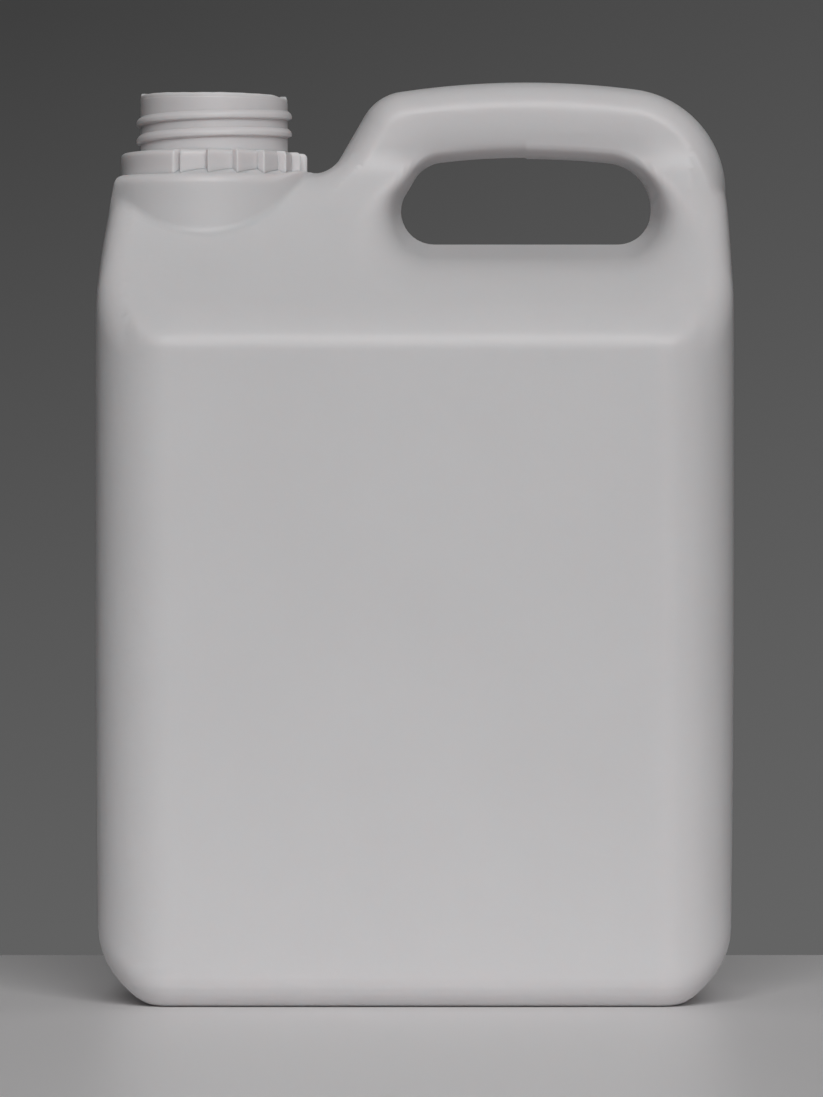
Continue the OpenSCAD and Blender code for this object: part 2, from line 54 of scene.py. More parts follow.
# Everything about the can's form is in millimetres here and becomes metres when the mesh is made.
can = {
    # the body: half sizes, corner and foot radii, and how far the sides draw in
    "halfWidth": 75.5, "halfDepth": 49.0, "cornerRadius": 18.0, "sideFoot": 18.0, "frontFoot": 8.0,
    "footIn": 0.9, "taperTop": 110.0, "leanFrom": 155.0, "leftIn": 4.1, "leftBend": 2.3,
    "rightIn": 0.5,
    # the roof: band, slope and round top, with the widths of their rounded edges
    "shoulder": 198.2, "ridge": 156.3, "bandHeight": 5.3, "bandIn": 2.3, "slopeC": 147.29,
    "humpZ": 173.8, "bandSoft": 0.9, "ridgeSoft": 2.0, "edgeSoft": 7.5, "edgeFrom": 52.0,
    "edgeOver": 16.0,
    # the boss under the neck, its lower top outside the ring, and the valley beside it
    "neckX": -48.4, "bossX": -50.4, "bossRadius": 25.6, "bossLow": 172.0, "bossTop": 19.8,
    "bossSoft": 1.0, "topSoft": 2.6, "bossDrop": 1.2, "dropFrom": 20.5, "dropOver": 2.0,
    "dropRight": -28.0, "dropFade": 5.0, "valleySoft": 0.2, "valleyFrom": -34.0, "valleyOver": 8.0,
    # the grip: its section, and the fillets at the leg's front and outline and at the arm
    "gripDepth": 12.0, "gripFlat": 1.0, "gripEdge": 7.0, "gripInner": 12.3, "gripPower": 2.7,
    "gripScale": 8.0, "gripHeight": 18.0, "legSoft": 3.5, "frontSoft": 8.0, "frontFrom": 2.0,
    "frontOver": 8.0, "armSoft": 10.0, "sideFade": 9.0, "leastFillet": 0.03,
    # the grip's outline: the leg's line, the arch and its corners
    "legX": -20.0, "legAngle": 60.0, "archX": 27.0, "archZ": 15.0, "archRadius": 205.0,
    "nearRadius": 12.0, "farRadius": 25.0,
    # the slot: its floor, corners, rim and drafted wall
    "slotZ": 181.0, "slotLow": 8.0, "slotNear": 8.0, "slotFar": 11.0, "rim": 0.7, "slotFlat": 5.0,
    "gripRim": 1.5, "shareFrom": 2.0, "shareOver": 18.0, "pocketRise": 4.8, "floorSoft": 8.0,
    "gripSoft": 1.5, "wall": 1.1,
}
neckX, shoulder = can["neckX"], can["shoulder"]
humpRadius = shoulder - can["humpZ"]
legDir = np.array([math.cos(math.radians(can["legAngle"])), math.sin(math.radians(can["legAngle"]))])
legIn = np.array([legDir[1], -legDir[0]])
legFoot = np.array([can["legX"], shoulder])
archCentre = np.array([can["archX"], can["archZ"]])
rightSide = can["halfWidth"] - can["rightIn"]


def softMax(a, b, k):  # the larger of two distances, with their meeting rounded off over a width k
    return np.maximum(a, b) + np.maximum(k - np.abs(a - b), 0) ** 2 / (4 * k)


def softMin(a, b, k):  # the smaller of two distances, with their meeting filled over a width k
    return np.minimum(a, b) - np.maximum(k - np.abs(a - b), 0) ** 2 / (4 * k)


def roundMax(a, b, r):  # two distances meeting square to each other in an arc of radius r
    return np.minimum(np.maximum(a, b), -r) + np.hypot(np.maximum(a + r, 0), np.maximum(b + r, 0))


def mix(a, b, t):
    return a + (b - a) * t


def polar(centre, radius, angle):  # point at an angle in degrees round a centre in the x z plane
    a = np.radians(angle)
    return np.stack([centre[0] + radius * np.cos(a), centre[1] + radius * np.sin(a)], -1)


def byLeg(inset, radius):  # centre that lies inset from the leg's line and radius from the arch's centre
    p = legFoot + inset * legIn - archCentre
    b = p @ legDir
    return legFoot + inset * legIn + (math.sqrt(b * b - p @ p + radius ** 2) - b) * legDir


def bySide(x, radius):  # centre at x that lies radius from the arch's centre
    return np.array([x, archCentre[1] + math.sqrt(radius ** 2 - (x - archCentre[0]) ** 2)])


def heading(v):
    return math.degrees(math.atan2(v[1], v[0]))


gripH = can["gripHeight"]
nearCentre = byLeg(can["nearRadius"], can["archRadius"] - can["nearRadius"])
farCentre = bySide(rightSide - can["farRadius"], can["archRadius"] - can["farRadius"])
slotArch = can["archRadius"] - gripH
slotRight = rightSide - gripH
slotNearC = byLeg(gripH + can["slotNear"], slotArch - can["slotNear"])
slotFarC = bySide(slotRight - can["slotFar"], slotArch - can["slotFar"])
lowFarC = np.array([slotRight - can["slotLow"], can["slotZ"] + can["slotLow"]])
lowNearC = legFoot + (gripH + can["slotLow"]) * legIn
lowNearC = lowNearC + (lowFarC[1] - lowNearC[1]) / legDir[1] * legDir
legOut = can["legAngle"] + 90


def leftX(z):  # left side: drawn in towards the base, and leaning in to the boss by a power of the height
    up = np.maximum(z - can["leanFrom"], 0) / (shoulder - can["leanFrom"])
    return (-can["halfWidth"] + can["footIn"] * (np.maximum(can["taperTop"] - z, 0) / can["taperTop"]) ** 2
            + can["leftIn"] * up ** can["leftBend"])


def rightX(z):
    up = np.maximum(z - can["leanFrom"], 0) / (farCentre[1] - can["leanFrom"])
    return (can["halfWidth"] - can["footIn"] * (np.maximum(can["taperTop"] - z, 0) / can["taperTop"]) ** 2
            - can["rightIn"] * np.minimum(up, 1) ** 2)


def inWedge(x, z, centre, a0, a1):  # points seen from a centre between two angles
    a = np.degrees(np.arctan2(z - centre[1], x - centre[0]))
    return (np.mod(a - a0, 360) <= a1 - a0), np.hypot(x - centre[0], z - centre[1])


def handleOutline(x, z):  # signed distance from the handle's outline: leg line, arch, side, two round corners
    d = np.maximum(-((x - legFoot[0]) * legIn[0] + (z - legFoot[1]) * legIn[1]),
                   np.hypot(x - archCentre[0], z - archCentre[1]) - can["archRadius"])
    d = np.maximum(np.maximum(d, x - rightX(z)), 160 - z)  # the tube ends inside the shoulder
    for c, r, a0, a1 in ((nearCentre, can["nearRadius"], heading(nearCentre - archCentre), legOut),
                         (farCentre, can["farRadius"], 0, heading(farCentre - archCentre))):
        wedge, reach = inWedge(x, z, c, a0, a1)
        d = np.where(wedge, reach - r, d)
    return d


def slotDistance(x, z):  # signed distance from the slot's outline, four edges and four corner arcs
    d = np.maximum(can["slotZ"] - z, x - slotRight)
    d = np.maximum(d, gripH - ((x - legFoot[0]) * legIn[0] + (z - legFoot[1]) * legIn[1]))
    d = np.maximum(d, np.hypot(x - archCentre[0], z - archCentre[1]) - slotArch)
    for c, r, a0, a1 in ((lowNearC, can["slotLow"], legOut, 270), (lowFarC, can["slotLow"], -90, 0),
                         (slotFarC, can["slotFar"], 0, heading(slotFarC - archCentre)),
                         (slotNearC, can["slotNear"], heading(slotNearC - archCentre), legOut)):
        wedge, reach = inWedge(x, z, c, a0, a1)
        d = np.where(wedge, reach - r, d)
    return d


def gripShare(z):  # 0 at the slot's floor, 1 at the grip
    t = np.clip((z - can["slotZ"] - can["shareFrom"]) / can["shareOver"], 0, 1)
    return t * t * (3 - 2 * t)


# Distance from the blown skin in millimetres, negative inside, as if the slot weren't there. Rounded
# box under a roof of band, slope and round top, joined to the neck's boss and to the grip.
def closedField(x, y, z):
    a = np.abs(y)
    side = np.maximum(leftX(z) - x, x - rightX(z))
    section = roundMax(side, a - can["halfDepth"], can["cornerRadius"])
    bandTilt = math.hypot(can["bandIn"], can["bandHeight"])
    band = ((a - can["halfDepth"]) * can["bandHeight"] + (z - can["ridge"]) * can["bandIn"]) / bandTilt
    slope = (a + z) * math.sqrt(0.5) - can["slopeC"]
    hump = np.where(a < z - can["humpZ"], np.hypot(a, z - can["humpZ"]) - humpRadius, slope)
    section = softMax(section, band, can["bandSoft"])
    soft = mix(can["ridgeSoft"], can["edgeSoft"],
               np.clip((np.abs(x) - can["edgeFrom"]) / can["edgeOver"], 0, 1) ** 2)
    body = softMax(section, hump, soft)
    dx = np.maximum(np.abs(x) - (can["halfWidth"] - can["cornerRadius"]), 0)
    dy = np.maximum(a - (can["halfDepth"] - can["cornerRadius"]), 0)
    foot = mix(can["sideFoot"], can["frontFoot"], dy ** 2 / (dx ** 2 + dy ** 2 + 1e-9))
    body = roundMax(body, -z, foot)
    boss = np.maximum(np.hypot(x - can["bossX"], y) - can["bossRadius"], leftX(z) - x)
    boss = np.maximum(boss, can["bossLow"] - z)
    # rounded at the boss's edge, nearly sharp in the valley, where the leg's fillet takes over
    topSoft = mix(can["topSoft"], can["valleySoft"],
                  np.clip((x - can["valleyFrom"]) / can["valleyOver"], 0, 1))
    drop = can["bossDrop"] * np.clip((np.hypot(x - neckX, y) - can["dropFrom"]) / can["dropOver"], 0, 1)
    drop = drop * np.clip((can["dropRight"] - x) / can["dropFade"], 0, 1)
    body = softMax(softMin(body, boss, can["bossSoft"]), z - shoulder + drop, topSoft)
    out = handleOutline(x, z)
    edge = can["gripEdge"]
    outerFlat, innerFlat = can["gripFlat"], mix(can["gripFlat"], can["slotFlat"], gripShare(z))
    deep = np.maximum(a - outerFlat, 0) / (can["gripDepth"] - outerFlat)
    outer = np.hypot(np.maximum(out + edge, 0) / edge, deep)
    power, deep = can["gripPower"], np.maximum(a - innerFlat, 0) / (can["gripDepth"] - innerFlat)
    near = np.clip(1 - slotDistance(x, z) / can["gripInner"], 0, 1.5)
    inner = (near ** power + deep ** power) ** (1 / power)
    grip = (np.maximum(outer, inner) - 1) * can["gripScale"]
    # fillets: tight in the leg's outline, wide in front of the leg and at the arm, none at the right side
    legSoft = mix(can["legSoft"], can["frontSoft"], np.clip((a - can["frontFrom"]) / can["frontOver"], 0, 1))
    soft = np.where(x < can["archX"], legSoft, can["armSoft"])
    soft = soft * np.clip(-side / can["sideFade"], can["leastFillet"], 1)
    return np.maximum(softMin(body, grip, soft), side)


def pocketField(x, y, z):  # distance from the slot's drafted wall, which opens out from a rim
    rise, rim = can["pocketRise"], mix(can["rim"], can["slotFlat"] + can["gripRim"], gripShare(z))
    return (np.abs(y) - rim - rise * slotDistance(x, z)) / math.sqrt(1 + rise ** 2)


# the closed skin cut by the pocket, with a softer edge under the grip, and by the slot
def canField(x, y, z):
    soft = mix(can["floorSoft"], can["gripSoft"], gripShare(z))
    return np.maximum(softMax(closedField(x, y, z), pocketField(x, y, z), soft), -slotDistance(x, z))


# first meeting with the skin, by halving, all rays at once
def castRays(origin, direction, level, reach=130.0, field=canField):
    near = np.zeros(direction.shape[:-1])
    far = np.full(direction.shape[:-1], float(reach))
    for _ in range(40):
        half = (near + far) / 2
        p = origin + half[..., None] * direction
        inside = field(p[..., 0], p[..., 1], p[..., 2]) < level
        near, far = np.where(inside, half, near), np.where(inside, far, half)
    return origin + near[..., None] * direction


def gradient(p, h=0.01):
    x, y, z = p[..., 0], p[..., 1], p[..., 2]
    g = np.stack([canField(x + h, y, z) - canField(x - h, y, z),
                  canField(x, y + h, z) - canField(x, y - h, z),
                  canField(x, y, z + h) - canField(x, y, z - h)], -1)
    return g / (2 * h)


def settle(p, level, steps=4):  # moves points along the slope of the distance until they lie on the skin
    for _ in range(steps):
        g = gradient(p)
        f = canField(p[..., 0], p[..., 1], p[..., 2]) - level
        p = p - np.clip(f, -1.5, 1.5)[..., None] * g / np.maximum((g ** 2).sum(-1), 0.2)[..., None]
        p[..., 1] = np.minimum(p[..., 1], 0)
    return p


def stations(parts):  # joins runs of points that share their end points
    return np.concatenate([parts[0]] + [p[1:] for p in parts[1:]])


def arc(c, r, a0, a1, n):
    return polar(c, r, np.linspace(a0, a1, n + 1))


def line(p0, p1, n):
    return mix(np.asarray(p0, float), np.asarray(p1, float), np.linspace(0, 1, n + 1)[:, None])


def castDepth(xz, level, field=canField):  # depth of the skin in front of points of the parting plane
    o = np.stack([xz[..., 0], np.zeros(xz.shape[:-1]), xz[..., 1]], -1)
    d = np.zeros(o.shape)
    d[..., 1] = -1
    return castRays(o, d, level, 60, field)


# Sections across the grip, station by station from the leg's foot round to the right arm: rays fan out
# from the middle of each section, from the outline (0 degrees) to the slot's rim (180).
def handleStrip(n, level):
    q = -level
    aN, aF = heading(nearCentre - archCentre), heading(farCentre - archCentre)
    sN, sF = heading(slotNearC - archCentre), heading(slotFarC - archCentre)
    outer = stations([line(legFoot + 3.6 * legDir + q * legIn,
                           polar(nearCentre, can["nearRadius"] - q, legOut), n["leg"]),
                      arc(nearCentre, can["nearRadius"] - q, legOut, aN, n["near"]),
                      arc(archCentre, can["archRadius"] - q, aN, aF, n["arch"]),
                      arc(farCentre, can["farRadius"] - q, aF, 0, n["far"]),
                      line([rightSide - q, farCentre[1]], [rightSide - q, lowFarC[1]], n["arm"])])
    inner = stations([line(polar(lowNearC, can["slotLow"] + q, legOut),
                           polar(slotNearC, can["slotNear"] + q, legOut), n["leg"]),
                      arc(slotNearC, can["slotNear"] + q, legOut, sN, n["near"]),
                      arc(archCentre, slotArch + q, sN, sF, n["arch"]),
                      arc(slotFarC, can["slotFar"] + q, sF, 0, n["far"]),
                      line([slotRight + q, slotFarC[1]], [slotRight + q, lowFarC[1]], n["arm"])])
    out = outer - inner
    out = out / np.linalg.norm(out, axis=-1, keepdims=True)
    middle = (outer + inner) / 2
    a = np.radians(np.concatenate([np.linspace(0, 174, n["across"]), [180]]))
    direction = np.stack([out[:, None, 0] * np.cos(a), np.broadcast_to(-np.sin(a), (len(out), len(a))),
                          out[:, None, 1] * np.cos(a)], -1)
    middle = np.stack([middle[:, 0], 0 * middle[:, 0], middle[:, 1]], -1)
    origin = np.broadcast_to(middle[:, None], direction.shape)
    strip = castRays(origin, direction, level, 40)
    strip[:, 0, 1] = 0
    strip[:, -1] = np.stack([inner[:, 0], 0 * inner[:, 0], inner[:, 1]], -1)
    return strip


# Surface patch between four edge curves: the two ruled patches together, less the one on the corners.
# Edges left and right run up the rows, bottom and top along the columns.
def coons(left, right, bottom, top):
    s = np.linspace(0, 1, len(left))[:, None, None]
    t = np.linspace(0, 1, len(bottom))[None, :, None]
    ruled = mix(left[:, None], right[:, None], t) + mix(bottom[None], top[None], s)
    return ruled - mix(mix(bottom[0], bottom[-1], t), mix(top[0], top[-1], t), s)


def shoulderZ(depth):  # height of the slope and the round top at a depth
    return np.where(depth < humpRadius * math.sqrt(0.5),
                    can["humpZ"] + np.sqrt(np.maximum(humpRadius ** 2 - depth ** 2, 0)),
                    can["slopeC"] / math.sqrt(0.5) - depth)


# Columns run from the left side's middle round the front to the right side's middle, rows from the
# base's middle line up to the boss, the valley, the leg, the slot's lower half and the right arm.
def bodyGrid(n, strip, level):
    q = -level
    across, slotX, fanX = n["across"], -14.0, 56.0  # the slot's columns stand between these on the face
    faceTop, ridgeTop = 148, 168  # heights where the rows of the face and of the ridge end
    # heights of the rows up to the shoulder's slope
    foot = can["sideFoot"] * (1 - np.cos(np.linspace(0, 90, n["foot"] + 1) * math.pi / 180)) + q
    foot[0] += 0.02
    z = np.concatenate([foot, np.linspace(can["sideFoot"] + q, faceTop, n["face"] + 1)[1:],
                        np.linspace(faceTop, ridgeTop, n["ridge"] + 1)[1:]])
    # columns: angle round the neck's axis on the left, places on the face, a fan round the right corner
    theta = np.linspace(0, 90, n["left"] + 1)
    faceX = np.concatenate([np.linspace(neckX, can["legX"] - 9, n["boss"] + 1)[1:],
                            np.linspace(can["legX"] - 9, can["legX"] - 4, n["valley"] + 1)[1:],
                            np.linspace(can["legX"] - 4, slotX, across + 1)[1:],
                            np.linspace(slotX, fanX, n["slot"] + 1)[1:]])
    phi = np.linspace(90, 180, across + 1)[1:]
    ox = np.concatenate([np.full(len(theta), neckX), faceX, np.full(across, fanX)])
    dx = np.concatenate([-np.cos(np.radians(theta)), 0 * faceX, -np.cos(np.radians(phi))])
    dy = np.concatenate([-np.sin(np.radians(theta)), 0 * faceX - 1, -np.sin(np.radians(phi))])
    origin = np.stack(np.broadcast_arrays(ox[None, :], 0.0, z[:, None]), -1)
    direction = np.stack(np.broadcast_arrays(dx[None, :], dy[None, :], 0.0 * z[:, None]), -1)
    lower = castRays(origin, direction, level)
    lower[:, 0, 1] = 0
    lower[:, -1, 1] = 0
    lower[0, :, 2] = q
    t = np.linspace(0, 1, n["base"] + 1)[:-1, None, None]
    # middle line of the base, its points in the columns' order
    reach = np.where(ox < 0, abs(lower[0, 0, 0] - neckX), abs(lower[0, -1, 0] - fanX))
    flat = np.stack([ox + dx * reach, 0 * ox, 0 * ox + q], -1)[None]
    base = mix(flat, lower[:1], t)
    # upper part, left of the neck: level rays from the neck's axis, rows gathered round the boss's foot
    bossR = can["bossRadius"] - q
    topR = can["bossTop"]
    topZ = shoulder - q
    foot = np.minimum(shoulderZ(bossR * np.sin(np.radians(theta))) - q, topZ - 4)
    s1 = np.linspace(0, 1, n["slope"] + 1)[1:, None]
    s2 = np.linspace(0, 1, n["top"] + 1)[1:, None]
    zz = np.concatenate([mix(z[-1], foot[None], s1), mix(foot[None], topZ, 1 - (1 - s2) ** 1.5)])
    origin = np.stack(np.broadcast_arrays(neckX, 0.0, zz), -1)
    direction = np.stack(np.broadcast_arrays(dx[None, :len(theta)], dy[None, :len(theta)], 0 * zz), -1)
    left = castRays(origin, direction, level)
    left[:, 0, 1] = 0
    toLeft = slice(len(theta))
    left[-1] = np.stack([neckX + topR * dx[toLeft], topR * dy[toLeft], np.full(len(theta), topZ)], -1)
    # upper part, boss's right half and valley: depth in front of lines from the face up to the outline
    beta = np.linspace(90, 180, n["boss"] + 1)[1:]
    v = strip[0, 0, ::2]
    vx = np.linspace(neckX + topR, v[0], n["valley"] + 1)[1:]
    valleyTop = castValley(vx, level)
    bossXZ = np.stack([neckX - topR * np.cos(np.radians(beta)), np.full(n["boss"], topZ)], -1)
    topXZ = np.concatenate([bossXZ, valleyTop])
    topXZ[-1] = v
    depth = np.sqrt(np.maximum(topR ** 2 - np.minimum(np.abs(topXZ[:, 0] - neckX), topR) ** 2, 0))
    creaseZ = np.minimum(shoulderZ(np.maximum(depth, 6)) - q, topZ - 4)
    creaseZ = creaseZ - np.clip(topXZ[:, 0] - neckX - 20, 0, 8) * 0.3
    crease = np.stack([mix(topXZ[:, 0], faceX[:len(topXZ)], 0.12), creaseZ], -1)
    low = np.stack([faceX[:len(topXZ)], np.full(len(topXZ), z[-1])], -1)
    w = np.clip((topXZ[:, 0] - neckX) / topR, 0, 1) ** 4
    s3 = 1 - (1 - s2) ** mix(1.5, 2.0, w[None])
    middleXZ = np.concatenate([mix(low[None], crease[None], s1[..., None]),
                               mix(crease[None], topXZ[None], s3[..., None])])
    middle = castDepth(middleXZ, level)
    middle[-1] = np.stack([topXZ[:, 0], -depth, topXZ[:, 1]], -1)
    # slot's lower half: lines that leave the rim at turning angles, run to the pocket's edge, then the face
    k = [int(n["slot"] * f) for f in (0.2, 0.8)]
    slotLow = stations([arc(lowNearC, can["slotLow"] + q, legOut, 270, k[0]),
                        line([lowNearC[0], can["slotZ"] - q], [lowFarC[0], can["slotZ"] - q], k[1] - k[0]),
                        arc(lowFarC, can["slotLow"] + q, -90, 0, n["slot"] - k[1])])
    leave = np.concatenate([np.linspace(192, 270, k[0] + 1), np.full(k[1] - k[0] - 1, 270.0),
                            np.linspace(270, 302, n["slot"] - k[1] + 1)])
    a = np.radians(leave)
    out = np.stack([np.cos(a), np.sin(a)], -1)
    near, far = np.zeros(len(a)), np.full(len(a), 13.0)
    for _ in range(16):  # where the drafted wall meets the shoulder
        half = (near + far) / 2
        e = slotLow + half[:, None] * out
        p = castDepth(e, level, closedField)
        wall = pocketField(p[:, 0], p[:, 1], p[:, 2]) > level
        near, far = np.where(wall, half, near), np.where(wall, far, half)
    crease = slotLow + near[:, None] * out
    fx = np.linspace(slotX, fanX, n["slot"] + 1)
    low = np.stack([fx, np.full(len(fx), z[-1])], -1)
    slotXZ = np.concatenate([mix(low[None], crease[None], s1[..., None]),
                             mix(crease[None], slotLow[None], s2[..., None])])
    slotPart = castDepth(slotXZ, level)
    slotPart[-1] = np.stack([slotLow[:, 0], 0 * slotLow[:, 0], slotLow[:, 1]], -1)
    # leg and right arm: patches between their neighbours and the ends of the strip
    rowL = lower[-1]
    jLeg = n["left"] + n["boss"] + n["valley"]
    legLeft = np.concatenate([rowL[None, jLeg], middle[:, -1]])
    legRight = np.concatenate([rowL[None, jLeg + across], slotPart[:, 0]])
    leg = coons(legLeft, legRight, rowL[jLeg:jLeg + across + 1], strip[0])
    jArm = jLeg + across + n["slot"]
    armLeft = np.concatenate([rowL[None, jArm], slotPart[:, -1]])
    zs = np.concatenate([mix(z[-1], lowFarC[1] - 8, s1[:, 0]), mix(lowFarC[1] - 8, lowFarC[1], s2[:, 0])])
    armRight = np.stack([rightX(zs) - q, 0 * zs, zs], -1)
    armRight = np.concatenate([rowL[None, -1], armRight])
    arm = coons(armLeft, armRight, rowL[jArm:], strip[-1][::-1])
    leg[1:-1, 1:-1] = settle(leg[1:-1, 1:-1], level, 6)
    arm[1:-1, 1:-1] = castFrom(arm[1:-1, 1:-1], (strip[-1, 0] + strip[-1, -1]) / 2, [0, 0, 1], level)
    upper = np.concatenate([left, middle, leg[1:, 1:-1], slotPart, arm[1:, 1:]], 1)
    # evens out the cells above the ridge, keeping every point on the skin
    whole = np.concatenate([lower[-3:], upper])
    for _ in range(n["even"]):
        around = (whole[:-2, 1:-1] + whole[2:, 1:-1] + whole[1:-1, :-2] + whole[1:-1, 2:]) / 4
        whole[1:-1, 1:-1] = settle(mix(whole[1:-1, 1:-1], around, 0.5), level, 1)
    whole[1:-1, 1:-1] = settle(whole[1:-1, 1:-1], level, 3)
    return np.concatenate([base, lower[:-3], whole])


# rays that leave an axis square to it, each towards its guessed point
def castFrom(guess, middle, along, level):
    along = np.array(along)
    origin = middle + ((guess - middle) @ along)[..., None] * along
    way = guess - origin
    return castRays(origin, way / np.linalg.norm(way, axis=-1, keepdims=True), level, 90)


def castValley(vx, level):  # height of the valley between boss and leg at y = 0
    o = np.stack([vx, 0 * vx, np.full(len(vx), 180.0)], -1)
    d = np.zeros(o.shape)
    d[:, 2] = 1
    return castRays(o, d, level, 60)[:, ::2]


def quadsOf(grid, flip=False):  # corner points of a grid's cells, anticlockwise seen from outside
    q = np.stack([grid[:-1, :-1], grid[:-1, 1:], grid[1:, 1:], grid[1:, :-1]], 2).reshape(-1, 4, 3)
    return q[:, ::-1] if flip else q


# Triangles from loose quads, cut along the shorter diagonal, with equal corners made one vertex and
# triangles without area left out.
def sewn(quads):
    first, second = (np.linalg.norm(quads[:, i] - quads[:, i + 2], axis=-1) for i in (0, 1))
    cut = np.where((first <= second)[:, None, None], [[[0, 1, 2], [0, 2, 3]]], [[[0, 1, 3], [1, 2, 3]]])
    corners = quads[np.arange(len(quads))[:, None, None], cut].reshape(-1, 3)
    key = np.round(corners / 0.002).astype(np.int64)
    _, first, index = np.unique(key, axis=0, return_index=True, return_inverse=True)
    tris = index.reshape(-1, 3)
    tris = tris[(tris[:, 0] != tris[:, 1]) & (tris[:, 1] != tris[:, 2]) & (tris[:, 2] != tris[:, 0])]
    return corners[first], tris


def meshPiece(name, points, faces, normals=None):  # millimetres become metres, kept inside the modelled size
    points = np.clip(points * 0.001, np.array(cadBox[0]), np.array(cadBox[1]))
    mesh = bpy.data.meshes.new(name)
    mesh.from_pydata(points.tolist(), [], faces.tolist())
    mesh.polygons.foreach_set("use_smooth", np.ones(len(mesh.polygons), bool))
    if normals is not None:
        mesh.normals_split_custom_set_from_vertices(normals.tolist())
    piece = bpy.data.objects.new(name, mesh)
    bpy.context.scene.collection.objects.link(piece)
    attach(piece, "root")
    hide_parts("can")
    print(name, len(points), "points", len(faces), "triangles")
    return piece


skinCells = {
    "outer": {"left": 52, "boss": 44, "valley": 12, "across": 34, "slot": 60, "base": 5, "foot": 10,
              "face": 6, "ridge": 22, "slope": 20, "top": 26, "even": 12, "leg": 20, "near": 12,
              "arch": 56, "far": 34, "arm": 8},
    "inner": {"left": 52, "boss": 44, "valley": 4, "across": 12, "slot": 24, "base": 2, "foot": 5,
              "face": 3, "ridge": 6, "slope": 6, "top": 8, "even": 6, "leg": 8, "near": 5,
              "arch": 22, "far": 12, "arm": 3},
}


def ringOf(n, radius, z):  # half circle of points round the neck's axis, one for each column of the boss
    a = np.radians(np.linspace(0, 90, n["left"] + 1))
    b = np.radians(np.linspace(90, 180, n["boss"] + 1)[1:])
    a = np.concatenate([a, b])
    return np.stack([neckX - radius * np.cos(a), -radius * np.sin(a), np.full(len(a), float(z))], -1)


# Outer skin, inner skin a wall's thickness further in, and the flat round opening under the neck, for
# one mould half, then mirrored in the parting plane.
def skinPiece():
    quads, topR, hole = [], can["bossTop"], 17.0  # the opening's edge is hidden inside the ring
    for side, level in (("outer", 0.0), ("inner", -can["wall"])):
        n = skinCells[side]
        strip = handleStrip(n, level)
        body = bodyGrid(n, strip, level)
        landing = mix(body[-1, :n["left"] + n["boss"] + 1], ringOf(n, hole, shoulder + level),
                      np.linspace(0, 1, 4)[:, None, None])
        for grid in (body, strip, landing):
            quads.append(quadsOf(grid, side == "inner"))
    n = skinCells["outer"]
    quads.append(quadsOf(np.stack([ringOf(n, hole, shoulder), ringOf(n, hole, shoulder - can["wall"])])))
    half = np.concatenate(quads)
    other = (half * np.array([1, -1, 1]))[:, ::-1]
    points, faces = sewn(np.concatenate([half, other]))
    g = gradient(points)
    f = canField(points[:, 0], points[:, 1], points[:, 2])
    g = g / np.maximum(np.linalg.norm(g, axis=-1, keepdims=True), 1e-9)
    level = np.where(f < -can["wall"] / 2, -1.0, 1.0)
    nearHole = (np.hypot(points[:, 0] - neckX, points[:, 1]) < topR + 0.05) & (points[:, 2] > shoulder - 1.5)
    g = np.where(nearHole[:, None], 0, g * level[:, None])
    return meshPiece("jerryCanSkin", points, faces, g)


skin = skinPiece()

neck = {
    "bore": 16.0, "tube": 17.75, "height": 18.7, "ringRadius": 22.5, "ringHeight": 4.6, "tooth": 2.4,
    "teeth": 6, "toothAngle": 18.0, "firstTooth": 174.3, "gap": 3.0, "fall": 0.8,
    "ringRound": 1.1, "toothRound": 0.9,
    "pitch": 4.2, "threadOut": 1.0, "turns": 2.0, "threadZ": 6.3, "lean": 0.01, "inside": 17.0,
    "threadLow": (-0.8, -0.3), "threadUp": (0.25, 1.5),
    "rimRound": 0.45, "lip": 0.08, "sunk": 2.1, "columns": 420, "ringColumns": 1200, "wallRows": 118,
}


# Radius of the ratchet ring at polar angle a in degrees: a plain sector, then teeth whose backs are
# straight lines from the full radius down towards the root, the same again half a turn further.
def ratchetRadius(a):
    full, root = neck["ringRadius"], neck["ringRadius"] - neck["tooth"]
    plain = 180 - neck["teeth"] * neck["toothAngle"]
    t = np.mod(a - neck["firstTooth"], 180) - plain
    u = np.mod(t, neck["toothAngle"])
    span = math.radians(neck["toothAngle"] - neck["gap"])
    low = mix(full, root, neck["fall"])
    w = np.radians(np.clip(u - neck["gap"], 0, None))
    back = full * low * math.sin(span) / (full * np.sin(w) + low * np.sin(span - w))
    notch = mix(np.where(t < neck["gap"], full, low), root, u / neck["gap"])
    return np.where(t < 0, full, np.where(u < neck["gap"], notch, back))


# How far the thread stands out at polar angle a and height z: steps up a steep lower flank and comes
# down a long upper one, on a helix of two turns that fades at both ends.
def threadHeight(a, z):
    turn = np.mod(a - 90, 360) / 360
    out = 0 * z
    for k in range(-1, 3):
        i = turn + k
        dz = z - neck["threadZ"] - neck["pitch"] * i
        lo, hi = neck["threadLow"], neck["threadUp"]
        up = np.clip((dz - lo[0]) / (lo[1] - lo[0]), 0, 1)
        down = np.clip((hi[1] - dz) / (hi[1] - hi[0]), 0, 1)
        fade = np.clip(np.minimum(i, neck["turns"] - i) * 12 + 0.1, 0, 1)
        h = (up * up * (3 - 2 * up)) * (down * (2 - down)) * fade
        out = np.maximum(out, neck["threadOut"] * h)
    return out


